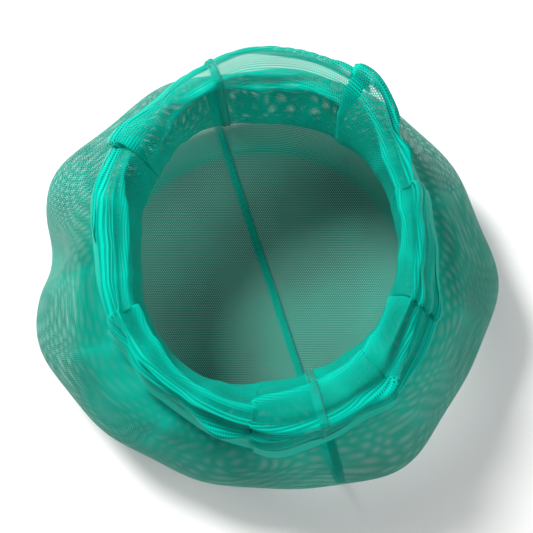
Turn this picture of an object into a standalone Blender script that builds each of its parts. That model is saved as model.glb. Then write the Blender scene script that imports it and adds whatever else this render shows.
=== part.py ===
"""Mesh produce bag, standing open on a flat surface with its mouth folded outwards as a cuff.

The bag is two equal panels of fine knitted net, sewn together along two side seams and one bottom seam.
Each panel is modelled as two pieces that meet at the crest, the standing wall and the cuff folded down outside
it, so that the room under the cuff stays open in collision. In the real bag the two are one cloth.
Each seam's allowance is overlocked and lies flat against the right panel, inside the bag, so it shows on
the outside of the cuff. The mouth ends in a turned hem. Units are metres, +Z is up and -Y is the front.
The origin is on the surface that the bag stands on, under the middle of the bag.
"""

import math

import bpy
from mathutils import Vector

# Rings of the standing bag. Each list holds the ring's radius every 30 degrees, anticlockwise from +X.
BELLY_RADII = (0.159, 0.151, 0.150, 0.149, 0.154, 0.161, 0.159, 0.160, 0.150, 0.149, 0.152, 0.155)
WAIST_RADII = (0.090, 0.094, 0.098, 0.097, 0.101, 0.092, 0.084, 0.089, 0.091, 0.083, 0.082, 0.087)
CREST_RADII = (0.094, 0.100, 0.122, 0.125, 0.116, 0.108, 0.097, 0.102, 0.105, 0.111, 0.109, 0.098)
HEM_RADII = (0.122, 0.125, 0.143, 0.149, 0.142, 0.136, 0.122, 0.120, 0.124, 0.134, 0.132, 0.130)

BASE_SHARE = 0.72  # the flat base, as a share of the belly's radius
HEEL_SHARE = 0.94  # how far out the wall is at the heel, as a share of the belly's radius
SHOULDER_SHARE = 0.62  # where the shoulder lies, from the waist's radius to the belly's

HEEL_HEIGHT = 0.016
BELLY_HEIGHT = 0.052
SHOULDER_HEIGHT = 0.086
WAIST_HEIGHT = 0.103
CREST_HEIGHT = 0.150
CREST_RISE = 0.005  # how much higher than that the crest is at the back, and lower at the front
HEM_HEIGHT = 0.107
BASE_EDGE_RUN = 0.3  # how far in from its edge the base sets the wall's direction, as a share of its radius

NET = 0.0012  # wall thickness of the net
GAP = 0.0003  # clearance between pieces that lie against each other
SEAM_ANGLE = math.radians(108)  # direction of the back seam; the front seam is opposite
ALLOWANCE_WIDTH = 0.006
ALLOWANCE_THICKNESS = 0.0010
SEAM_THREAD = 0.0012  # diameter of the overlock thread along an allowance's free edge
HEM_WIDTH = 0.012
HEM_THICKNESS = 0.0010
HEM_THREAD = 0.0008  # diameter of the hem's row of stitches
HEM_THREAD_INSET = 0.002  # from the hem's upper edge to its row of stitches

PANEL_COLUMNS = 22  # faces across one panel, between the narrow ones beside its seams
SEAM_TURN = 0.075  # angle that a narrow face beside a seam takes up: an allowance lies within it
ROWS_PER_SPAN = 4  # faces along the wall between two rings
CREST_ROWS = 10  # faces along the span round the crest, where the wall turns most
CREST_REACH = 0.5  # how far to either side of the crest those faces go, in spans
CUFF_CUT = 0.034  # half the cut between a wall and its cuff, in spans: their inner edges stay 0.3 mm apart
HEM_ROWS = 3
BASE_ROWS = 3
BOTTOM_SEAM_SHARE = 0.88  # how far the bottom seam's allowance reaches, as a share of the base's radius
BOTTOM_SEAM_STEPS = 8
THREAD_SIDES = 2  # bevel resolution of a thread: 8 sides

NET_COLOUR = (0.01, 0.56, 0.45, 1)
SEAM_COLOUR = (0.01, 0.38, 0.30, 1)
THREAD_COLOUR = (0.02, 0.45, 0.36, 1)

SEAM_PLANE_NORMAL = Vector((-math.sin(SEAM_ANGLE), math.cos(SEAM_ANGLE), 0))  # towards the left panel


def clear_scene():
    for thing in list(bpy.data.objects):
        bpy.data.objects.remove(thing, do_unlink=True)


def material(name, colour, roughness):
    made = bpy.data.materials.new(name)
    made.use_nodes = True
    shader = made.node_tree.nodes["Principled BSDF"]
    shader.inputs["Base Color"].default_value = colour
    shader.inputs["Roughness"].default_value = roughness
    shader.inputs["Metallic"].default_value = 0
    return made


def catmull_rom(before, start, end, after, share):
    """The point at share of the way from start to end, on a smooth curve through all four."""
    slope_in, slope_out = (end - before) * 0.5, (after - start) * 0.5
    square, cube = share * share, share * share * share
    return (
        start * (2 * cube - 3 * square + 1)
        + slope_in * (cube - 2 * square + share)
        + end * (3 * square - 2 * cube)
        + slope_out * (cube - square)
    )


def ring_radius(radii, angle):
    place = angle / math.tau * len(radii)
    index = math.floor(place)
    around = [radii[(index + step) % len(radii)] for step in (-1, 0, 1, 2)]
    return catmull_rom(*around, place - index)


def rings(angle):
    """The wall's (radius, height) at each ring, from the base's edge to the hem's, as vectors."""
    belly = ring_radius(BELLY_RADII, angle)
    waist = ring_radius(WAIST_RADII, angle)
    crest = ring_radius(CREST_RADII, angle)
    hem = ring_radius(HEM_RADII, angle)
    floor = NET / 2
    return [
        Vector((belly * BASE_SHARE, floor)),
        Vector((belly * HEEL_SHARE, floor + HEEL_HEIGHT)),
        Vector((belly, BELLY_HEIGHT)),
        Vector((waist + (belly - waist) * SHOULDER_SHARE, SHOULDER_HEIGHT)),
        Vector((waist, WAIST_HEIGHT)),
        Vector((crest, CREST_HEIGHT + CREST_RISE * math.sin(angle))),
        Vector((hem, HEM_HEIGHT)),
    ]


SPANS = len(rings(0)) - 1
CREST_STATION = SPANS - 1


def profile_point(angle, station):
    """(radius, height) of the wall. Station 0 is the base's edge and SPANS is the hem's edge."""
    knots = rings(angle)
    before = knots[0] - Vector((knots[0].x * BASE_EDGE_RUN, 0))
    after = knots[-1] * 2 - knots[-2]
    knots = [before, *knots, after]
    index = min(int(station), SPANS - 1)
    return catmull_rom(*knots[index : index + 4], station - index)


def wall_point(angle, station):
    flat = profile_point(angle, station)
    return Vector((flat.x * math.cos(angle), flat.x * math.sin(angle), flat.y))


def inward_normal(angle, station):
    """The direction that the inside of the net faces, which is outwards on the cuff."""
    step = 1e-3
    ahead, behind = min(station + step, SPANS), max(station - step, 0)
    along = wall_point(angle, ahead) - wall_point(angle, behind)
    across = wall_point(angle + step, station) - wall_point(angle - step, station)
    return along.cross(across).normalized()


def link(name, data, finish):
    made = bpy.data.objects.new(name, data)
    data.materials.append(finish)
    bpy.context.scene.collection.objects.link(made)
    return made


def sheet_object(name, rows, finish, thickness):
    """One closed piece from rows of points, thickened evenly on both sides. A row of one point is a pole."""
    points, faces = [], []
    starts = []
    for row in rows:
        starts.append(len(points))
        points.extend(row)
    for low, high in zip(range(len(rows) - 1), range(1, len(rows))):
        for column in range(len(rows[high]) - 1):
            upper = starts[high] + column
            if len(rows[low]) == 1:
                faces.append((starts[low], upper, upper + 1))
            else:
                lower = starts[low] + column
                faces.append((lower, upper, upper + 1, lower + 1))
    mesh = bpy.data.meshes.new(name)
    mesh.from_pydata(points, [], faces)
    mesh.shade_smooth()
    made = link(name, mesh, finish)
    wall = made.modifiers.new("Thickness", "SOLIDIFY")
    wall.thickness = thickness
    wall.offset = 0
    wall.use_even_offset = True
    return made


def thread_object(name, points, finish, diameter):
    curve = bpy.data.curves.new(name, "CURVE")
    curve.dimensions = "3D"
    curve.bevel_depth = diameter / 2
    curve.bevel_resolution = THREAD_SIDES
    curve.use_fill_caps = True
    line = curve.splines.new("POLY")
    line.points.add(len(points) - 1)
    for knot, place in zip(line.points, points):
        knot.co = (*place, 1)
    return link(name, curve, finish)


def stations(first, last, rows):
    return [first + (last - first) * row / rows for row in range(rows + 1)]


def hem_stations():
    """Stations of the turned hem's upper edge, of its row of stitches and of its lower edge."""
    length = (rings(0)[-1] - rings(0)[-2]).length
    return SPANS - HEM_WIDTH / length, SPANS - (HEM_WIDTH - HEM_THREAD_INSET) / length, SPANS


def panel_angles(side):
    """The angles across one panel, from the back seam round to the front seam. side is 1 for left, -1 for right."""
    turns = [0, *stations(SEAM_TURN, math.pi - SEAM_TURN, PANEL_COLUMNS), math.pi]
    return [SEAM_ANGLE + side * turn for turn in turns]


def panel_shift(side, clearance=0.0):
    """Moves a half of the bag off the plane that holds the three seams."""
    return SEAM_PLANE_NORMAL * side * (GAP / 2 + clearance)


def wall_stations():
    """The wall's rows from the base's edge to the hem's, closer together round the crest."""
    crest_start, crest_end = CREST_STATION - CREST_REACH, CREST_STATION + CREST_REACH
    below = stations(0, crest_start, round(crest_start * ROWS_PER_SPAN))
    crest = stations(crest_start, crest_end, CREST_ROWS)
    beyond = stations(crest_end, SPANS, round((SPANS - crest_end) * ROWS_PER_SPAN))
    return below + crest[1:] + beyond[1:]


def allowance_stations():
    """The wall's rows that a side seam's allowance lies on, which stop short of the base and of the turned hem."""
    return wall_stations()[1:-2]


def net_panel(name, side, finish):
    """Half of the base, and the wall that stands on it up to the crest."""
    angles = panel_angles(side)
    shift = panel_shift(side)
    rows = [[Vector((0, 0, NET / 2)) + shift]]
    for row in range(1, BASE_ROWS):
        share = row / BASE_ROWS
        edge = [wall_point(angle, 0) for angle in angles]
        rows.append([Vector((p.x * share, p.y * share, NET / 2)) + shift for p in edge])
    below = [station for station in wall_stations() if station < CREST_STATION - CUFF_CUT]
    for station in [*below, CREST_STATION - CUFF_CUT]:
        rows.append([wall_point(angle, station) + shift for angle in angles])
    return sheet_object(name, rows, finish, NET)


def cuff(name, side, finish):
    """The upper part of a panel, folded down outside the wall, from the crest to the hem."""
    shift = panel_shift(side)
    beyond = [station for station in wall_stations() if station > CREST_STATION + CUFF_CUT]
    rows = []
    for station in [CREST_STATION + CUFF_CUT, *beyond]:
        rows.append([wall_point(angle, station) + shift for angle in panel_angles(side)])
    return sheet_object(name, rows, finish, NET)


def beside_seam(angle, turn, station, away, lift):
    """A point on the right panel, this far from its seam and lifted off its middle towards its inside.

    turn is the angle from the seam to the far side of the narrow face beside it.
    """
    start, end = wall_point(angle, station), wall_point(angle + turn, station)
    normal = (inward_normal(angle, station) + inward_normal(angle + turn, station)).normalized()
    return start + (end - start).normalized() * away + normal * lift + panel_shift(-1)


def side_seams():
    """(name, angle, turn) of each side seam. turn leads from the seam on to the right panel."""
    return ("back", SEAM_ANGLE, -SEAM_TURN), ("front", SEAM_ANGLE - math.pi, SEAM_TURN)


def side_allowance(name, angle, turn, finish):
    """A seam's turned-in edges, lying flat against the right panel from the base's edge to the hem."""
    lift = NET / 2 + GAP + ALLOWANCE_THICKNESS / 2
    rows = []
    for station in allowance_stations():
        rows.append([beside_seam(angle, turn, station, away, lift) for away in (GAP, ALLOWANCE_WIDTH)])
    if turn < 0:
        rows.reverse()
    return sheet_object(name, rows, finish, ALLOWANCE_THICKNESS)


def side_thread(name, angle, turn, finish):
    """The overlock thread along the free edge of a side seam's allowance."""
    away = ALLOWANCE_WIDTH + GAP + SEAM_THREAD / 2
    lift = NET / 2 + GAP + SEAM_THREAD / 2
    points = [beside_seam(angle, turn, station, away, lift) for station in allowance_stations()]
    return thread_object(name, points, finish, SEAM_THREAD)


def bottom_seam_line(away, height):
    """Points along the bottom seam, this far to its right, from just inside the front seam to the back one."""
    points = []
    for share in stations(-BOTTOM_SEAM_SHARE, BOTTOM_SEAM_SHARE, BOTTOM_SEAM_STEPS):
        along = wall_point(SEAM_ANGLE, 0) if share > 0 else -wall_point(SEAM_ANGLE - math.pi, 0)
        place = along * share - SEAM_PLANE_NORMAL * away
        points.append(Vector((place.x, place.y, height)))
    return points


def bottom_allowance(name, finish):
    height = NET + GAP + ALLOWANCE_THICKNESS / 2
    rows = [bottom_seam_line(away, height) for away in (GAP, ALLOWANCE_WIDTH)]
    return sheet_object(name, rows, finish, ALLOWANCE_THICKNESS)


def bottom_thread(name, finish):
    away = ALLOWANCE_WIDTH + GAP + SEAM_THREAD / 2
    points = bottom_seam_line(away, NET + GAP + SEAM_THREAD / 2)
    return thread_object(name, points, finish, SEAM_THREAD)


def turned_hem(name, side, finish):
    """The net's edge turned back on its inside, which is the outer side of the cuff."""
    upper, _, lower = hem_stations()
    lift = NET / 2 + GAP + HEM_THICKNESS / 2
    shift = panel_shift(side)
    rows = []
    for station in stations(upper, lower, HEM_ROWS):
        row = []
        for angle in panel_angles(side):
            row.append(wall_point(angle, station) + inward_normal(angle, station) * lift + shift)
        rows.append(row)
    return sheet_object(name, rows, finish, HEM_THICKNESS)


def hem_thread(name, side, finish):
    _, station, _ = hem_stations()
    lift = NET / 2 + GAP + HEM_THICKNESS + GAP + HEM_THREAD / 2
    shift = panel_shift(side, HEM_THREAD)
    points = []
    for angle in panel_angles(side):
        points.append(wall_point(angle, station) + inward_normal(angle, station) * lift + shift)
    return thread_object(name, points, finish, HEM_THREAD)


def main():
    clear_scene()
    net = material("Net", NET_COLOUR, 0.6)
    seam = material("Seam allowance", SEAM_COLOUR, 0.75)
    thread = material("Sewing thread", THREAD_COLOUR, 0.6)
    for word, side in (("left", 1), ("right", -1)):
        net_panel(f"{word}_net_panel", side, net)
        cuff(f"{word}_cuff", side, net)
        turned_hem(f"{word}_turned_hem", side, net)
        hem_thread(f"{word}_hem_thread", side, thread)
    for word, angle, turn in side_seams():
        side_allowance(f"{word}_seam_allowance", angle, turn, seam)
        side_thread(f"{word}_seam_thread", angle, turn, thread)
    bottom_allowance("bottom_seam_allowance", seam)
    bottom_thread("bottom_seam_thread", thread)


main()
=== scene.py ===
"""Looks of the mesh produce bag: two sheets of see-through net, sewn along three overlocked seams.

The bag stands open, as full as when it holds vegetables, with its mouth folded outwards as a cuff. The net
is modelled on a grid that runs round the bag and up its wall, and a short cloth simulation crumples it.
The hems, seams and stitches are then laid on the crumpled net. Everything is in metres.
"""

import math

import bpy
import numpy as np
from bpy.props import FloatProperty, FloatVectorProperty, IntProperty, PointerProperty
from bpy.types import Operator, Panel, PropertyGroup
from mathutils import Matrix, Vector


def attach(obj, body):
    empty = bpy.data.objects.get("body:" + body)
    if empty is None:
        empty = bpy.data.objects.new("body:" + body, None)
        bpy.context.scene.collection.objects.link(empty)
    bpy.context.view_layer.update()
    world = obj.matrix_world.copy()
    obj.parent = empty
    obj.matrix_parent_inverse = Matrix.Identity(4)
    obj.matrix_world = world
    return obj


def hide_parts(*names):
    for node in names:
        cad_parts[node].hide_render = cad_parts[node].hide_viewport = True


bl_info = {
    "name": "Mesh Produce Bag",
    "version": (1, 0, 0),
    "blender": (4, 5, 0),
    "location": "3D View > Sidebar > Produce Bag",
    "description": "Makes the net, hems and seams of a mesh produce bag around its packed frame",
    "category": "Object",
}

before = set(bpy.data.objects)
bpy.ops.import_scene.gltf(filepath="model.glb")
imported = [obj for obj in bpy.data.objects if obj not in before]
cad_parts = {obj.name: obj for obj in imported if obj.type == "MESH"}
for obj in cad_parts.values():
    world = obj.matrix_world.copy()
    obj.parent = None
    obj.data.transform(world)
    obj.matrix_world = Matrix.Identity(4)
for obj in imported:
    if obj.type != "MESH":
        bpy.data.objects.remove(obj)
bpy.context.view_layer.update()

# ---------------------------------------------------------------------------------------------------------
# The standing bag's shape. Each list holds a ring's radius every 30 degrees, anticlockwise from +X.
BELLY_RADII = (0.159, 0.151, 0.150, 0.149, 0.154, 0.161, 0.159, 0.160, 0.150, 0.149, 0.152, 0.155)
WAIST_RADII = (0.090, 0.094, 0.098, 0.097, 0.101, 0.092, 0.084, 0.089, 0.091, 0.083, 0.082, 0.087)
CREST_RADII = (0.094, 0.100, 0.122, 0.125, 0.116, 0.108, 0.097, 0.102, 0.105, 0.111, 0.109, 0.098)
HEM_RADII = (0.122, 0.125, 0.143, 0.149, 0.142, 0.136, 0.122, 0.120, 0.124, 0.134, 0.132, 0.130)
BASE_SHARE = 0.72
HEEL_SHARE = 0.94
SHOULDER_SHARE = 0.62
HEEL_HEIGHT = 0.016
BELLY_HEIGHT = 0.052
SHOULDER_HEIGHT = 0.086
WAIST_HEIGHT = 0.103
CREST_HEIGHT = 0.150
CREST_RISE = 0.005
HEM_HEIGHT = 0.107
FLOOR_CLEARANCE = 0.0006
SEAM_ANGLE = math.radians(108)
SPANS = 6
WAIST_STATION = 4
CREST_STATION = 5

PANEL_COLUMNS = 120
BASE_ROWS = 13
WALL_ROWS = 68
NET_ROUND = 0.88  # length of net round the bag before it is gathered

# Places where the cuff folds over itself: angle in degrees, fold depth and half-width in radians, height in
# metres, and 1 where the side at the larger angle lies on top, or -1 where the other does.
PLEATS = (
    (266, 0.100, 0.12, 0.0028, 1),
    (143, 0.100, 0.085, 0.0050, -1),
    (61, 0.12, 0.095, 0.0055, -1),
    (340, 0.06, 0.055, 0.0030, 1),
    (312, 0.05, 0.05, 0.0030, -1),
    (205, 0.06, 0.055, 0.0030, 1),
    (22, 0.05, 0.05, 0.0028, -1),
)

# Swellings where the contents press the net out: angle in degrees, then height, width and reach in metres.
# A negative reach is a hollow between two of them.
SWELLING_BOLDNESS = 2.2
SWELLING_SLACK = 0.004  # how far the net draws in between the swellings
SWELLINGS = (
    (156, 0.066, 0.036, 0.0060),
    (176, 0.060, 0.016, -0.0055),
    (197, 0.056, 0.038, 0.0052),
    (226, 0.070, 0.036, 0.004),
    (252, 0.044, 0.038, 0.003),
    (280, 0.066, 0.036, 0.003),
    (305, 0.050, 0.040, 0.0075),
    (332, 0.066, 0.036, 0.003),
    (357, 0.060, 0.036, 0.0045),
    (30, 0.050, 0.038, 0.004),
    (58, 0.068, 0.036, 0.003),
    (84, 0.046, 0.038, 0.004),
    (118, 0.062, 0.038, 0.004),
)

# Creases that run round the cuff: angles in degrees and stations of the two ends, and height in metres.
CREASES = (
    (112, 236, 5.22, 5.42, 0.0040),
    (126, 256, 5.66, 5.56, 0.0032),
    (152, 262, 5.02, 5.18, 0.0030),
    (232, 330, 5.58, 5.28, 0.0036),
    (272, 352, 5.18, 5.66, 0.0036),
    (296, 400, 5.46, 5.20, 0.0040),
    (338, 418, 5.70, 5.50, 0.0034),
    (8, 64, 5.10, 5.38, 0.0034),
    (60, 126, 5.34, 5.60, 0.0034),
    (56, 122, 4.52, 4.76, 0.0030),
    (72, 140, 4.86, 4.62, 0.0026),
    (176, 262, 4.58, 4.82, 0.0026),
    (246, 344, 4.78, 4.50, 0.0030),
    (140, 226, 5.46, 5.16, 0.0034),
    (150, 214, 5.80, 5.62, 0.0030),
    (196, 290, 5.34, 5.72, 0.0032),
    (214, 318, 5.08, 5.34, 0.0030),
    (286, 372, 5.78, 5.84, 0.0030),
    (318, 424, 5.06, 5.30, 0.0032),
    (352, 442, 5.60, 5.22, 0.0032),
    (70, 134, 5.70, 5.82, 0.0028),
    (146, 218, 4.86, 4.66, 0.0028),
    (-14, 56, 4.62, 4.84, 0.0028),
)
CREASE_WIDTH = 0.0026
CREASE_BOLDNESS = 1.35
CREASE_WANDER = 0.06  # how far a crease strays from its line, in spans
CREASE_WAVES = 9
CUFF_SPAN = 0.052  # length of net in one span of the cuff
FULLY_GATHERED = 0.006  # height of a fold at which the net's holes have closed
SQUEEZE_CLOSING = 1.3  # how fast the holes close as a ring of net is drawn in shorter than it was cut

# Gathers that run up the wall and over the crest: angle in degrees, stations of the ends, height, and how
# many degrees the gather leans over its length.
GATHERS = (
    (14, 4.0, 5.6, 0.0035, 6),
    (356, 4.2, 5.5, 0.0032, -5),
    (336, 4.0, 5.6, 0.0036, 6),
    (318, 4.2, 5.7, 0.0036, -8),
    (296, 3.8, 5.4, 0.0030, 8),
    (246, 3.9, 5.4, 0.0030, -8),
    (222, 4.0, 5.6, 0.0030, 6),
    (190, 3.8, 5.4, 0.0028, 5),
    (166, 3.9, 5.7, 0.0032, -6),
    (151, 3.2, 5.8, 0.0042, -16),
    (146, 3.4, 5.7, 0.0044, -7),
    (141, 3.2, 5.8, 0.0045, 4),
    (135, 3.4, 5.7, 0.0040, 13),
    (128, 3.6, 5.7, 0.0034, 20),
    (92, 3.8, 4.9, 0.0026, 7),
    (76, 3.9, 5.0, 0.0026, -6),
    (58, 3.6, 5.7, 0.0036, 5),
    (36, 3.9, 5.5, 0.0030, -5),
    (206, 2.2, 3.9, 0.0030, 8),
    (182, 2.4, 3.8, 0.0028, -6),
    (238, 2.3, 3.9, 0.0028, 6),
    (312, 2.3, 3.9, 0.0026, -7),
    (346, 2.3, 3.9, 0.0026, 6),
    (20, 2.3, 3.9, 0.0026, -6),
)
GATHER_WIDTH = 0.0052
GATHER_BOLDNESS = 0.42


def catmull_rom(before, start, end, after, share):
    slope_in, slope_out = (end - before) * 0.5, (after - start) * 0.5
    square, cube = share * share, share * share * share
    return (
        start * (2 * cube - 3 * square + 1)
        + slope_in * (cube - 2 * square + share)
        + end * (3 * square - 2 * cube)
        + slope_out * (cube - square)
    )


def ring_radius(radii, angle):
    """Radius of a ring at each angle of an array."""
    place = angle / math.tau * len(radii)
    index = np.floor(place).astype(int)
    values = np.array(radii)
    around = [values[(index + step) % len(radii)] for step in (-1, 0, 1, 2)]
    return catmull_rom(*around, place - index)


def smooth_step(low, high, value):
    share = np.clip((value - low) / (high - low), 0, 1)
    return share * share * (3 - 2 * share)


def wall_profile(angle, station):
    """Radius and height of the wall, at arrays of angles and stations of the same shape."""
    belly = ring_radius(BELLY_RADII, angle)
    waist = ring_radius(WAIST_RADII, angle)
    crest = ring_radius(CREST_RADII, angle)
    hem = ring_radius(HEM_RADII, angle)
    floor = np.full_like(belly, FLOOR_CLEARANCE)
    radii = [
        belly * BASE_SHARE,
        belly * HEEL_SHARE,
        belly,
        waist + (belly - waist) * SHOULDER_SHARE,
        waist,
        crest,
        hem,
    ]
    heights = [
        floor,
        floor + HEEL_HEIGHT,
        floor + BELLY_HEIGHT,
        floor + SHOULDER_HEIGHT,
        floor + WAIST_HEIGHT,
        floor + CREST_HEIGHT + CREST_RISE * np.sin(angle),
        floor + HEM_HEIGHT,
    ]
    radii = [radii[0] * 0.7, *radii, radii[-1] * 2 - radii[-2]]
    heights = [heights[0], *heights, heights[-1] * 2 - heights[-2]]
    radii, heights = np.array(radii), np.array(heights)
    index = np.minimum(station.astype(int), SPANS - 1)
    columns = np.indices(index.shape)
    found = []
    for knots in (radii, heights):
        around = [knots[(index + step, *columns)] for step in range(4)]
        found.append(catmull_rom(*around, station - index))
    return found


def wall_points(angle, station):
    radius, height = wall_profile(angle, station)
    return np.stack([radius * np.cos(angle), radius * np.sin(angle), height], axis=-1)


def even_stations(count):
    """Stations of the wall's rows, evenly spaced along an average profile."""
    fine = np.linspace(0, SPANS, 601)
    angles = np.linspace(0, math.tau, 12, endpoint=False)
    radius, height = wall_profile(*np.meshgrid(angles, fine))
    steps = np.hypot(np.diff(radius, axis=0), np.diff(height, axis=0)).mean(axis=1)
    lengths = np.concatenate([[0], np.cumsum(steps)])
    return np.interp(np.linspace(0, lengths[-1], count + 1), lengths, fine), lengths[-1]


def unit(vectors):
    return vectors / np.maximum(np.linalg.norm(vectors, axis=-1, keepdims=True), 1e-9)


def grid_normals(grid, closed):
    """Normals of a grid of points, towards the inside of the bag. closed says that the rows are rings."""
    up = np.gradient(grid, axis=0)
    if closed:
        across = np.roll(grid, -1, axis=1) - np.roll(grid, 1, axis=1)
    else:
        across = np.gradient(grid, axis=1)
    return unit(np.cross(up, across))


def pleat_turns(ring_angles, stations):
    """How far each point of the wall is turned round, and raised, by the pleats."""
    angle, station = np.meshgrid(ring_angles, stations)
    strength = smooth_step(WAIST_STATION - 0.4, CREST_STATION, station)
    turn, rise = np.zeros_like(angle), np.zeros_like(angle)
    for degrees, depth, half_width, height, over in PLEATS:
        away = (angle - math.radians(degrees) + math.pi) % math.tau - math.pi
        share = away / half_width
        turn -= depth * strength * 2 * share / (1 + share * share) * np.square(np.cos(away / 2))
        side = share * over
        fade = np.exp(-np.square(np.maximum(side - 1, 0) / 1.6))
        rise += height * strength * fade / (1 + np.exp(-3.2 * side))
    return turn, rise


def swell(points):
    """Pushes the wall out where the contents press on it."""
    angle = np.arctan2(points[..., 1], points[..., 0])
    radius = np.hypot(points[..., 0], points[..., 1])
    out = np.zeros_like(radius)
    for degrees, height, width, reach in SWELLINGS:
        away = (angle - math.radians(degrees) + math.pi) % math.tau - math.pi
        distance = np.square(away * radius / width) + np.square((points[..., 2] - height) / width)
        out += SWELLING_BOLDNESS * reach * np.exp(-distance)
    out -= SWELLING_SLACK
    below_waist = 1 - smooth_step(0.094, 0.108, points[..., 2])
    above_floor = smooth_step(0.002, 0.03, points[..., 2])
    grown = 1 + out * below_waist * above_floor / np.maximum(radius, 1e-6)
    points[..., 0] *= grown
    points[..., 1] *= grown


def ridge(distance, width):
    """A fold's height at a distance from its line: a sharp ridge with a shallow hollow on either side."""
    return 1.35 / (1 + np.square(distance / width)) - 0.45 / (1 + np.square(distance / (2.8 * width)))


def folds(ring_angles, stations):
    """How high the creases and gathers lift each point of the wall."""
    angle, station = np.meshgrid(ring_angles, stations)
    radius, _ = wall_profile(angle, station)
    lift = np.zeros_like(angle)
    for start, end, first, last, height in CREASES:
        turned = (angle - math.radians(start)) % math.tau
        share = turned / math.radians(end - start)
        wander = CREASE_WANDER * np.sin(share * CREASE_WAVES + start)
        away = (station - first - (last - first) * share - wander) * CUFF_SPAN
        taper = np.sqrt(np.clip(np.sin(math.pi * np.clip(share, 0, 1)), 0, 1))
        lift += CREASE_BOLDNESS * height * taper * ridge(away, CREASE_WIDTH)
    for degrees, first, last, height, lean in GATHERS:
        share = (station - first) / (last - first)
        middle = math.radians(degrees) + math.radians(lean) * (share - 0.5)
        away = ((angle - middle + math.pi) % math.tau - math.pi) * radius
        taper = np.sqrt(np.clip(np.sin(math.pi * np.clip(share, 0, 1)), 0, 1))
        lift += GATHER_BOLDNESS * height * taper * ridge(away, GATHER_WIDTH)
    return lift


def standing_grid():
    """The net as rings of points from the base's centre to the hem, and each row's length up the net."""
    ring_angles = SEAM_ANGLE + np.arange(2 * PANEL_COLUMNS) / (2 * PANEL_COLUMNS) * math.tau
    stations, wall_length = even_stations(WALL_ROWS)
    turn, rise = pleat_turns(ring_angles, stations)
    angle, station = np.meshgrid(ring_angles, stations)
    wall = wall_points(angle + turn, station)
    belly_side = station < WAIST_STATION
    swollen = wall.copy()
    swell(swollen)
    wall = np.where(belly_side[..., None], swollen, wall)
    wall += grid_normals(wall_points(angle, station), True) * rise[..., None]
    shares = np.linspace(0.0005, 1, BASE_ROWS + 1)[:-1]
    base = wall[0][None] * np.stack([shares, shares, np.ones_like(shares)], axis=-1)[:, None]
    base_radius = np.hypot(wall[0, :, 0], wall[0, :, 1]).mean()
    lengths = np.concatenate([shares * base_radius, base_radius + np.linspace(0, wall_length, WALL_ROWS + 1)])
    return np.concatenate([base, wall]), lengths


def fold_finely(grid):
    """Lays the creases and gathers on the refined grid. Returns it and how gathered each point is."""
    columns = grid.shape[1]
    ring_angles = SEAM_ANGLE + np.arange(columns) / columns * math.tau
    stations, _ = even_stations(WALL_ROWS)
    fine_stations = np.interp(np.arange(2 * WALL_ROWS + 1) / 2, np.arange(WALL_ROWS + 1), stations)
    lift = folds(ring_angles, fine_stations)
    start = len(grid) - len(lift)
    folded = grid.copy()
    folded[start:] += grid_normals(grid, True)[start:] * lift[..., None]
    ring_lengths = np.linalg.norm(np.roll(grid, -1, axis=1) - grid, axis=-1).sum(axis=1)
    squeezed = np.clip(SQUEEZE_CLOSING * (1 - ring_lengths / NET_ROUND), 0, 0.7)
    gathered = np.zeros(grid.shape[:2])
    gathered[start:] = np.clip(squeezed[start:, None] + lift / FULLY_GATHERED, 0, 1)
    return folded, gathered


# ---------------------------------------------------------------------------------------------------------
# Cloth simulation


def new_object(name, data):
    made = bpy.data.objects.new(name, data)
    bpy.context.scene.collection.objects.link(made)
    return made


def ring_faces(rows, columns):
    faces = []
    for row in range(rows - 1):
        for column in range(columns):
            after = (column + 1) % columns
            low, high = row * columns, (row + 1) * columns
            faces.append((low + column, high + column, high + after, low + after))
    return faces


def by_row(stations, values):
    """A value for each row of the grid, from values at stations; the base's rows take the first."""
    wall, _ = even_stations(WALL_ROWS)
    wall_values = np.interp(wall, stations, values)
    return np.concatenate([np.full(BASE_ROWS, values[0]), wall_values])


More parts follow.
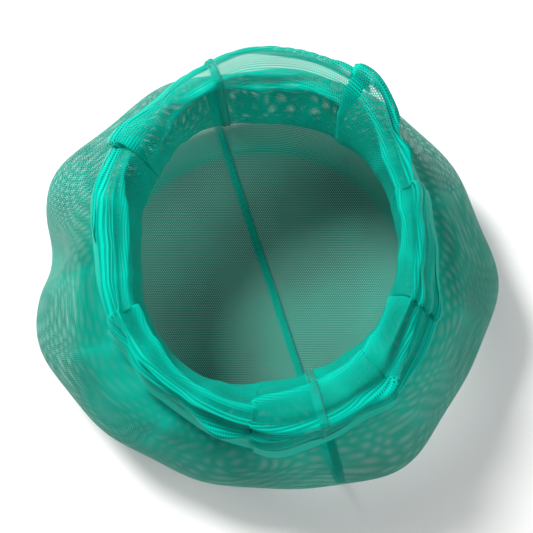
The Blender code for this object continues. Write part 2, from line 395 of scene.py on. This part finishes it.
def crumple(grid, sizes):
    """Lets the net buckle where there is more of it than room. No point moves further than the limit."""
    scene = bpy.context.scene
    rows, columns, _ = grid.shape
    mesh = bpy.data.meshes.new("crumpling")
    mesh.from_pydata(grid.reshape(-1, 3).tolist(), [], ring_faces(rows, columns))
    cloth_object = new_object("crumpling", mesh)
    cloth_object.shape_key_add(name="Standing")
    cut = cloth_object.shape_key_add(name="Cut")
    around = by_row((0, 2, 3, 4, 5, 6), (1.0, 0.995, 1.06, 1.14, 1.11, 1.10))
    upward = by_row((0, 3, 4, 5, 6), (1.0, 1.0, 1.02, 1.06, 1.10))
    rest = grid * np.stack([around, around, upward], axis=-1)[:, None]
    cut.data.foreach_set("co", rest.astype(np.float32).ravel())
    hold = cloth_object.vertex_groups.new(name="Hold")
    weights = by_row((0, 0.5, 2, 3, 4, 5, 6), (1.0, 0.8, 0.3, 0.10, 0.12, 0.14, 0.05))
    for row, weight in enumerate(weights):
        hold.add(list(range(row * columns, (row + 1) * columns)), float(weight), "REPLACE")
    cloth = cloth_object.modifiers.new("Cloth", "CLOTH")
    settings = cloth.settings
    settings.quality = 5
    settings.mass = 0.05
    settings.tension_stiffness = 20
    settings.compression_stiffness = 20
    settings.shear_stiffness = 6
    settings.bending_stiffness = sizes.bending
    settings.tension_damping = 8
    settings.compression_damping = 8
    settings.shear_damping = 8
    settings.bending_damping = 0.5
    settings.air_damping = 2
    settings.vertex_group_mass = "Hold"
    settings.pin_stiffness = 0.3
    settings.rest_shape_key = cut
    settings.effector_weights.gravity = 0.35
    cloth.collision_settings.use_collision = False
    cloth.collision_settings.use_self_collision = False
    cloth.point_cache.frame_start = 1
    cloth.point_cache.frame_end = sizes.frames
    scene.frame_start, scene.frame_end = 1, sizes.frames
    for number in range(1, sizes.frames + 1):
        scene.frame_set(number)
    graph = bpy.context.evaluated_depsgraph_get()
    evaluated = cloth_object.evaluated_get(graph).to_mesh()
    moved = np.empty(rows * columns * 3, np.float32)
    evaluated.vertices.foreach_get("co", moved)
    shift = moved.reshape(grid.shape).astype(float) - grid
    scene.frame_set(1)
    bpy.data.objects.remove(cloth_object, do_unlink=True)
    bpy.data.meshes.remove(mesh)
    distance = np.linalg.norm(shift, axis=-1, keepdims=True)
    limit = sizes.crumple_limit
    shift *= limit * np.tanh(distance / limit) / np.maximum(distance, 1e-9)
    return grid + shift


def soften(grid, turns):
    """Evens out kinks the size of one face. The first and last rows are evened only along themselves."""
    for _ in range(turns):
        beside = (np.roll(grid, 1, axis=1) + np.roll(grid, -1, axis=1)) / 2
        mixed = grid.copy()
        mixed[1:-1] = grid[1:-1] * 0.5 + (beside[1:-1] + (grid[2:] + grid[:-2]) / 2) * 0.25
        mixed[0] = grid[0] * 0.5 + beside[0] * 0.5
        mixed[-1] = grid[-1] * 0.5 + beside[-1] * 0.5
        grid = mixed
    return grid


def twice_as_fine(grid, lengths):
    """Adds a row between every two rows and a column between every two columns, on smooth curves."""
    before, after, beyond = (np.roll(grid, step, axis=1) for step in (1, -1, -2))
    between = (9 * (grid + after) - before - beyond) / 16
    rounds = np.stack([grid, between], axis=2).reshape(grid.shape[0], -1, 3)
    padded = np.concatenate([2 * rounds[:1] - rounds[1:2], rounds, 2 * rounds[-1:] - rounds[-2:-1]])
    middle = (9 * (padded[1:-2] + padded[2:-1]) - padded[:-3] - padded[3:]) / 16
    fine = np.empty((2 * len(rounds) - 1, rounds.shape[1], 3))
    fine[::2], fine[1::2] = rounds, middle
    fine_lengths = np.interp(np.arange(len(fine)) / 2, np.arange(len(lengths)), lengths)
    return fine, fine_lengths


# ---------------------------------------------------------------------------------------------------------
# Pieces made from the grid


def sheet_mesh(name, grid, uv_across, uv_up, flat_rows=0, gathered=None):
    """An open sheet through a grid of points.

    Below flat_rows the net's pattern is laid flat, and above it runs round. gathered is 0 to 1 at each point.
    """
    rows, columns, _ = grid.shape
    faces = []
    for row in range(rows - 1):
        for column in range(columns - 1):
            low, high = row * columns + column, (row + 1) * columns + column
            faces.append((low, low + 1, high + 1, high))
    mesh = bpy.data.meshes.new(name)
    mesh.from_pydata(grid.reshape(-1, 3).tolist(), [], faces)
    layer = mesh.uv_layers.new(name="Net")
    corners = np.array(faces).reshape(-1)
    across, up = np.meshgrid(uv_across, uv_up)
    pattern = np.stack([across.ravel()[corners], up.ravel()[corners]], axis=-1)
    flat = (np.arange(len(faces)) // (columns - 1) < flat_rows).repeat(4)
    laid = grid.reshape(-1, 3)[corners][:, :2]
    pattern = np.where(flat[:, None], laid, pattern)
    layer.data.foreach_set("uv", pattern.astype(np.float32).ravel())
    if gathered is not None:
        attribute = mesh.attributes.new("Gathered", "FLOAT", "POINT")
        attribute.data.foreach_set("value", gathered.astype(np.float32).ravel())
    mesh.shade_smooth()
    mesh["rows"], mesh["columns"] = rows, columns
    return mesh


def grid_of(piece):
    """The grid of points of a net panel."""
    mesh = piece.data
    flat = np.empty(len(mesh.vertices) * 3, np.float32)
    mesh.vertices.foreach_get("co", flat)
    return flat.reshape(mesh["rows"], mesh["columns"], 3).astype(float)


def finish_piece(piece, nodes, material):
    piece.data.materials.clear()
    piece.data.materials.append(material)
    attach(piece, "root")
    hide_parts(*nodes)


def thread_tube(name, points, diameter, sides=6, loop_split=None):
    """A round thread through points, as a mesh. loop_split cuts the line after every so many points."""
    curve = bpy.data.curves.new(name, "CURVE")
    curve.dimensions = "3D"
    curve.bevel_depth = diameter / 2
    curve.bevel_resolution = max(0, sides // 2 - 2)
    curve.use_fill_caps = True
    size = loop_split or len(points)
    for start in range(0, len(points) - size + 1, size):
        line = curve.splines.new("POLY")
        part = points[start : start + size]
        line.points.add(len(part) - 1)
        line.points.foreach_set("co", np.c_[part, np.ones(len(part))].astype(np.float32).ravel())
    drawn = new_object(name + "_line", curve)
    graph = bpy.context.evaluated_depsgraph_get()
    mesh = bpy.data.meshes.new_from_object(drawn.evaluated_get(graph))
    mesh.name = name
    bpy.data.objects.remove(drawn, do_unlink=True)
    bpy.data.curves.remove(curve)
    mesh.shade_smooth()
    return new_object(name, mesh)


def along(points, step):
    """Places at even steps along a line of points, as fractional indices into it."""
    lengths = np.concatenate([[0], np.cumsum(np.linalg.norm(np.diff(points, axis=0), axis=1))])
    count = max(2, int(lengths[-1] / step))
    return np.interp(np.linspace(0, lengths[-1], count + 1), lengths, np.arange(len(points)))


def sample(values, places):
    """Values of an array at fractional indices along its first axis."""
    low = np.clip(np.floor(places).astype(int), 0, len(values) - 2)
    share = (places - low)[:, None]
    return values[low] * (1 - share) + values[low + 1] * share


# ---------------------------------------------------------------------------------------------------------
# Materials


HAZE = 0.20  # how much the fine fibres that cross the holes hide
GLOW = (0.10, 0.85, 0.68)  # the net's sheen, which takes the colour of its dyed strands
CLOSING = 0.17  # how far a hole's edge moves in where the net is fully gathered, in pitches


class Socket:
    """Wraps a shader socket, so that maths on it can be written as plain expressions."""

    def __init__(self, tree, output):
        self.tree = tree
        self.output = output

    def math(self, operation, *others, clamp=False):
        values = {index + 1: other for index, other in enumerate(others)}
        settings = {"operation": operation, "use_clamp": clamp}
        return self.tree.node("ShaderNodeMath", settings, {0: self, **values})

    def __add__(self, other):
        return self.math("ADD", other)

    def __mul__(self, other):
        return self.math("MULTIPLY", other)

    def __sub__(self, other):
        return self.math("SUBTRACT", other)

    def __truediv__(self, other):
        return self.math("DIVIDE", other)

    def __rsub__(self, other):
        return self.math("MULTIPLY", -1) + other

    __radd__ = __add__
    __rmul__ = __mul__


class NodeTree:
    """A material's nodes."""

    def __init__(self, name):
        self.material = bpy.data.materials.new(name)
        self.material.use_nodes = True
        self.nodes = self.material.node_tree.nodes
        self.links = self.material.node_tree.links
        self.shader = self.nodes["Principled BSDF"]

    def node(self, kind, settings=None, inputs=None, output=0):
        made = self.nodes.new(kind)
        for key, value in (settings or {}).items():
            if key == "stops":
                self.set_stops(made.color_ramp, value)
            else:
                setattr(made, key, value)
        for key, value in (inputs or {}).items():
            self.feed(made.inputs[key], value)
        return Socket(self, made.outputs[output])

    def set_stops(self, ramp, stops):
        while len(ramp.elements) < len(stops):
            ramp.elements.new(1)
        for element, (place, colour) in zip(ramp.elements, stops):
            element.position = place
            element.color = (*colour, 1)

    def feed(self, socket, value):
        if isinstance(value, Socket):
            self.links.new(value.output, socket)
        else:
            socket.default_value = value

    def finish(self, **inputs):
        for key, value in inputs.items():
            self.feed(self.shader.inputs[key.replace("_", " ")], value)
        return self.material


def hexagon_distance(tree, across, up, pitch):
    """How far a point is from its hexagonal hole's middle: 0 there, and 0.5 midway between two holes."""
    tall = math.sqrt(3)
    distances = []
    for start in (0.0, 0.5):
        x = (across * (1 / pitch) + start).math("FRACT") - 0.5
        y = ((up * (1 / (pitch * tall)) + start).math("FRACT") - 0.5) * tall
        x, y = x.math("ABSOLUTE"), y.math("ABSOLUTE")
        slanted = x * 0.5 + y * (tall / 2)
        distances.append(x.math("MAXIMUM", slanted))
    return distances[0].math("MINIMUM", distances[1])


def net_material(name, colours, sizes, strand, gathers=False):
    """Knitted net: hexagonal holes that close where it is gathered, painted shade that darkens the strands'
    edges, and, with gathers, a painted highlight that lightens the gathered net.
    """
    tree = NodeTree(name)
    uv = tree.node("ShaderNodeUVMap", {"uv_map": "Net"})
    parts = tree.node("ShaderNodeSeparateXYZ", inputs={0: uv})
    across, up = parts, Socket(tree, parts.output.node.outputs[1])
    distance = hexagon_distance(tree, across, up, sizes.hole_pitch)
    edge = 0.5 - strand / sizes.hole_pitch / 2
    if gathers:
        tight = tree.node("ShaderNodeAttribute", {"attribute_name": "Gathered"}, output=2)
        edge = edge - tight * CLOSING
    solid = ((distance - edge) * 12 + 0.5).math("MULTIPLY", 1, clamp=True) * (1 - HAZE) + HAZE
    place = tree.node("ShaderNodeTexCoord", output=3)
    wander = tree.node("ShaderNodeTexNoise", inputs={"Vector": place, "Scale": 18.0, "Detail": 3.0})
    fibre = tree.node("ShaderNodeTexNoise", inputs={"Vector": uv, "Scale": 2600.0, "Detail": 2.0})
    # The strand's rounded profile, 0 at its edge: it gives the bump, and in the colour it darkens the
    # strands' edges as painted shade.
    rounding_and_edge_shade = ((distance - edge) * 5).math("MULTIPLY", 1, clamp=True)
    # The colour's mix: random tone from the two noises, and painted shade at the strands' edges.
    share = wander * 0.45 + fibre * 0.2 + rounding_and_edge_shade * 0.55 - 0.12
    if gathers:
        # Painted highlight: the colour is lightened where the net is gathered, standing in for the bright
        # edges of folds.
        share = share + tight * 0.26 - 0.06
    light, dark = colours
    colour = tree.node(
        "ShaderNodeValToRGB", {"stops": ((0.3, dark), (0.7, light))}, {"Fac": share}
    )
    height = rounding_and_edge_shade + fibre * 0.3
    normal = tree.node(
        "ShaderNodeBump", inputs={"Strength": 0.35, "Distance": 0.0002, "Height": height}
    )
    material = tree.finish(
        Base_Color=colour,
        Alpha=solid,
        Normal=normal,
        Roughness=wander * 0.2 + 0.42,
        Sheen_Weight=0.06,
        Sheen_Roughness=0.4,
        Sheen_Tint=(*GLOW, 1),
        Specular_IOR_Level=0.14,
        Specular_Tint=(*GLOW, 1),
    )
    return material


def thread_material(name, light, dark, scale):
    """Twisted polyester thread."""
    tree = NodeTree(name)
    place = tree.node("ShaderNodeTexCoord", output=3)
    noise = tree.node("ShaderNodeTexNoise", inputs={"Vector": place, "Scale": scale, "Detail": 4.0})
    twist = tree.node(
        "ShaderNodeTexWave",
        {"wave_type": "BANDS", "bands_direction": "DIAGONAL"},
        {"Vector": place, "Scale": scale * 1.5, "Distortion": 1.5},
        output=1,
    )
    colour = tree.node("ShaderNodeValToRGB", {"stops": ((0.3, dark), (0.7, light))}, {"Fac": noise})
    normal = tree.node("ShaderNodeBump", inputs={"Strength": 0.5, "Distance": 0.0001, "Height": twist})
    return tree.finish(
        Base_Color=colour, Normal=normal, Roughness=noise * 0.2 + 0.45, Sheen_Weight=0.2, Sheen_Roughness=0.4
    )


# ---------------------------------------------------------------------------------------------------------
# Settings


class BagSizes(PropertyGroup):
    """Sizes of the bag's net, seams and stitches."""

    hole_pitch: FloatProperty(
        name="Hole pitch", description="Distance between two holes in the net", default=0.0015, unit="LENGTH"
    )
    strand: FloatProperty(
        name="Strand", description="Width of the net's strands", default=0.00060, unit="LENGTH"
    )
    hem_width: FloatProperty(
        name="Hem width", description="Width of the turned hem", default=0.012, unit="LENGTH"
    )
    allowance: FloatProperty(
        name="Seam allowance", description="Width of an overlocked seam", default=0.006, unit="LENGTH"
    )
    thread: FloatProperty(
        name="Thread", description="Diameter of the sewing thread", default=0.0004, unit="LENGTH"
    )
    crumple_limit: FloatProperty(
        name="Crumple limit",
        description="The furthest that the simulation moves a point of the net",
        default=0.009,
        unit="LENGTH",
    )
    bending: FloatProperty(
        name="Bending stiffness", description="How much the net resists folding", default=4.0
    )
    frames: IntProperty(name="Frames", description="Length of the cloth simulation", default=26)


class BagColours(PropertyGroup):
    """Colours of the bag's net and thread."""

    net: FloatVectorProperty(
        name="Net", description="Colour of the net", subtype="COLOR", default=(0.001, 0.520, 0.395)
    )
    hem_thread: FloatVectorProperty(
        name="Hem thread",
        description="Colour of the hem's stitches",
        subtype="COLOR",
        default=(0.010, 0.560, 0.430),
    )
    # The dark end of the net's colour: random darker tone, and painted shade at the strands' edges.
    net_tone_and_edge_shade: FloatVectorProperty(
        name="Darker net",
        description="Colour of the edges of the net's strands",
        subtype="COLOR",
        default=(0.0004, 0.115, 0.082),
    )


class CameraSizes(PropertyGroup):
    """Where the camera stands."""

    height: FloatProperty(
        name="Elevation",
        description="Angle of the camera above the floor",
        default=math.radians(78),
        subtype="ANGLE",
    )
    distance: FloatProperty(
        name="Distance", description="From the camera to the bag's middle", default=0.87, unit="LENGTH"
    )
    lens: FloatProperty(name="Lens", description="Focal length in millimetres", default=85.0)


# ---------------------------------------------------------------------------------------------------------
# Operators


class BAG_OT_net(Operator):
    """Makes the bag's two net panels, as full and crumpled as they stand"""

    bl_idname = "produce_bag.net"
    bl_label = "Net Panels"

    def execute(self, context):
        sizes, colours = context.scene.bag_sizes, context.scene.bag_colours
        grid, lengths = standing_grid()
        grid = crumple(grid, sizes)
        grid = soften(grid, 2)
        grid[..., 2] = np.maximum(grid[..., 2], FLOOR_CLEARANCE)
        grid, lengths = twice_as_fine(grid, lengths)
        grid, gathered = fold_finely(grid)
        grid[..., 2] = np.maximum(grid[..., 2], FLOOR_CLEARANCE)
        both = (colours.net[:], colours.net_tone_and_edge_shade[:])
        material = net_material("Net", both, sizes, sizes.strand, gathers=True)
        columns = 2 * PANEL_COLUMNS
        around = np.concatenate([grid, grid[:, :1]], axis=1)
        gathered = np.concatenate([gathered, gathered[:, :1]], axis=1)
        for word, start in (("left", 0), ("right", columns)):
            part = around[:, start : start + columns + 1]
            across = np.arange(start, start + columns + 1) * NET_ROUND / (2 * columns)
            tight = gathered[:, start : start + columns + 1]
            mesh = sheet_mesh(f"{word}_net", part, across, lengths, flat_rows=2 * BASE_ROWS, gathered=tight)
            piece = new_object(f"{word}_net", mesh)
            finish_piece(piece, (f"{word}_net_panel", f"{word}_cuff"), material)
        return {"FINISHED"}


class BAG_OT_hems(Operator):
    """Makes the turned hems and their stitches"""

    bl_idname = "produce_bag.hems"
    bl_label = "Turned Hems"

    def execute(self, context):
        sizes, colours = context.scene.bag_sizes, context.scene.bag_colours
        net = net_material("Doubled net", (colours.net[:], colours.net_tone_and_edge_shade[:]), sizes, sizes.strand * 1.8)
        thread = thread_material("Hem thread", colours.hem_thread[:], colours.net[:], 900.0)
        for word in ("left", "right"):
            grid = grid_of(bpy.data.objects[f"{word}_net"])
            normals = grid_normals(grid, False)
            row_step = np.linalg.norm(np.diff(grid[-8:], axis=0), axis=-1).mean()
            count = round(sizes.hem_width / row_step)
            band = grid[-count - 1 :] + normals[-count - 1 :] * 0.0007
            across = np.arange(grid.shape[1]) * NET_ROUND / 2 / (grid.shape[1] - 1)
            up = np.arange(count + 1) * row_step
            piece = new_object(f"{word}_hem", sheet_mesh(f"{word}_hem", band, across + 0.0005, up))
            finish_piece(piece, (f"{word}_turned_hem",), net)
            self.stitch(word, band[1], normals[-count], sizes, thread)
        return {"FINISHED"}

    def stitch(self, word, line, normals, sizes, thread):
        """A row of straight stitches, which dip into the cloth between two long floats."""
        places = along(line, 0.0008)
        rise = np.where(np.arange(len(places)) % 4 == 0, -0.5, 0.6) * sizes.thread
        points = sample(line, places) + sample(normals, places) * rise[:, None]
        piece = thread_tube(f"{word}_hem_stitches", points, sizes.thread)
        finish_piece(piece, (f"{word}_hem_thread",), thread)


class BAG_OT_seams(Operator):
    """Makes the overlocked allowances of the side seams and the bottom seam"""

    bl_idname = "produce_bag.seams"
    bl_label = "Overlocked Seams"

    def execute(self, context):
        sizes, colours = context.scene.bag_sizes, context.scene.bag_colours
        net = net_material("Seam net", (colours.net[:], colours.net_tone_and_edge_shade[:]), sizes, sizes.strand * 1.5)
        thread = thread_material("Seam thread", colours.net[:], colours.net_tone_and_edge_shade[:], 900.0)
        grid = grid_of(bpy.data.objects["right_net"])
        normals = grid_normals(grid, False)
        row_step = np.linalg.norm(np.diff(grid[-8:], axis=0), axis=-1).mean()
        stop = len(grid) - round(sizes.hem_width / row_step)
        start = 2 * BASE_ROWS
        for word, columns in (("back", slice(None, None, -1)), ("front", slice(None))):
            wall, facing = grid[start:stop, columns], normals[start:stop, columns]
            self.overlock(word, wall, facing, sizes, net, thread)
        self.bottom_seam(grid[: start + 1], sizes, net, thread)
        return {"FINISHED"}

    def bottom_seam(self, base, sizes, net, thread):
        """The seam across the base, along the base's own rows from the front edge to the back one."""
        line = np.concatenate([base[::-1, 0], base[:, -1]])
        right = unit(np.cross(line[-1] - line[0], (0.0, 0.0, 1.0)))
        steps = np.linspace(0, 0.012, 9)
        wall = line[:, None] + right * steps[None, :, None]
        facing = np.broadcast_to(np.array((0.0, 0.0, 1.0)), wall.shape)
        self.overlock("bottom", wall, facing, sizes, net, thread)

    def overlock(self, word, wall, facing, sizes, net, thread):
        """The strip of turned-in net beside the first column, and the thread looped over its free edge."""
        strip = []
        for row, face in zip(wall, facing):
            lengths = np.concatenate([[0], np.cumsum(np.linalg.norm(np.diff(row[:9], axis=0), axis=1))])
            places = np.interp(np.linspace(0.0004, sizes.allowance, 4), lengths, np.arange(len(lengths)))
            lift = np.array([0.0006, 0.0012, 0.0014, 0.0009])[:, None]
            points = sample(row, places) + sample(face, places) * lift
            strip.append(points)
        strip = np.array(strip)
        up = np.concatenate([[0], np.cumsum(np.linalg.norm(np.diff(strip[:, 0], axis=0), axis=1))])
        mesh = sheet_mesh(f"{word}_seam", strip, np.linspace(0, sizes.allowance, 4), up)
        piece = new_object(f"{word}_seam", mesh)
        finish_piece(piece, (f"{word}_seam_allowance",), net)
        root, edge, face = strip[:, 0], strip[:, -1], facing[:, 2]
        places = along(edge, 0.00125)
        root, edge, face = sample(root, places), sample(edge, places), sample(face, places)
        out = unit(edge - root)
        number = np.arange(len(places))[:, None]
        outer = edge + out * 0.0002 + face * 0.0003
        inner = root + out * 0.0008 + face * 0.0007
        points = np.where(number % 2 == 0, outer, inner)
        loops = thread_tube(f"{word}_seam_stitches", points, sizes.thread * 1.15, 4)
        finish_piece(loops, (f"{word}_seam_thread",), thread)
        chain = edge + face * 0.0004
        wave = np.where(number % 2 == 0, 1, -1) * 0.00035
        cord = thread_tube(f"{word}_seam_chain", chain + out * wave, sizes.thread * 1.5, 4)
        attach(cord, "root")
        cord.data.materials.clear()
        cord.data.materials.append(thread)


def area_light(name, place, aim, size, power, colour):
    data = bpy.data.lights.new(name, "AREA")
    data.shape = "DISK"
    data.size = size
    data.energy = power
    data.color = colour
    light = new_object(name, data)
    light.location = place
    light.rotation_euler = (Vector(aim) - Vector(place)).to_track_quat("-Z", "Y").to_euler()


class BAG_OT_stage(Operator):
    """Makes the floor, the lights and the camera"""

    bl_idname = "produce_bag.stage"
    bl_label = "Stage"

    def execute(self, context):
        bpy.ops.object.select_all(action="DESELECT")
        bpy.ops.mesh.primitive_plane_add(size=6, location=(0, 0, 0))
        floor = context.active_object
        floor.name = "floor"
        tree = NodeTree("Floor")
        place = tree.node("ShaderNodeTexCoord", output=3)
        noise = tree.node("ShaderNodeTexNoise", inputs={"Vector": place, "Scale": 3.0, "Detail": 2.0})
        floor.data.materials.append(tree.finish(Base_Color=(0.9, 0.9, 0.9, 1), Roughness=noise * 0.1 + 0.75))
        middle = (0, 0, 0.08)
        area_light("Key", (-0.75, 0.75, 1.35), middle, 0.5, 36, (1, 0.99, 0.97))
        area_light("Fill", (0.9, -0.7, 1.3), middle, 1.2, 8, (0.97, 0.99, 1))
        world = bpy.data.worlds.new("Studio")
        world.use_nodes = True
        world.node_tree.nodes["Background"].inputs["Color"].default_value = (1, 1, 1, 1)
        world.node_tree.nodes["Background"].inputs["Strength"].default_value = 0.34
        context.scene.world = world
        context.scene.view_settings.view_transform = "Standard"
        self.add_camera(context)
        return {"FINISHED"}

    def add_camera(self, context):
        sizes = context.scene.bag_camera
        data = bpy.data.cameras.new("Camera")
        data.lens = sizes.lens
        camera = new_object("Camera", data)
        target = Vector((0, 0, 0.075))
        away = Vector((0, -math.cos(sizes.height), math.sin(sizes.height)))
        camera.location = target + away * sizes.distance
        camera.rotation_euler = (-away).to_track_quat("-Z", "Y").to_euler()
        context.scene.camera = camera


class BAG_PT_panel(Panel):
    """The bag's pieces, in the order they are made"""

    bl_idname = "BAG_PT_panel"
    bl_label = "Mesh Produce Bag"
    bl_space_type = "VIEW_3D"
    bl_region_type = "UI"
    bl_category = "Produce Bag"

    def draw(self, context):
        for group in (context.scene.bag_sizes, context.scene.bag_colours, context.scene.bag_camera):
            for name in group.__annotations__:
                self.layout.prop(group, name)
        for operator in OPERATORS:
            self.layout.operator(operator.bl_idname)


OPERATORS = (BAG_OT_stage, BAG_OT_net, BAG_OT_hems, BAG_OT_seams)
GROUPS = {"bag_sizes": BagSizes, "bag_colours": BagColours, "bag_camera": CameraSizes}


def register():
    for made in (*GROUPS.values(), *OPERATORS, BAG_PT_panel):
        bpy.utils.register_class(made)
    for name, group in GROUPS.items():
        setattr(bpy.types.Scene, name, PointerProperty(type=group))


def unregister():
    for name in GROUPS:
        delattr(bpy.types.Scene, name)
    for made in reversed((*GROUPS.values(), *OPERATORS, BAG_PT_panel)):
        bpy.utils.unregister_class(made)


def declare_sheets():
    """Works out the length of the net's wall up the bag, and does nothing more with it."""
    _, wall_length = even_stations(WALL_ROWS)


def main():
    register()
    bpy.ops.produce_bag.stage()
    bpy.ops.produce_bag.net()
    bpy.ops.produce_bag.hems()
    bpy.ops.produce_bag.seams()
    declare_sheets()


if __name__ == "__main__":
    main()
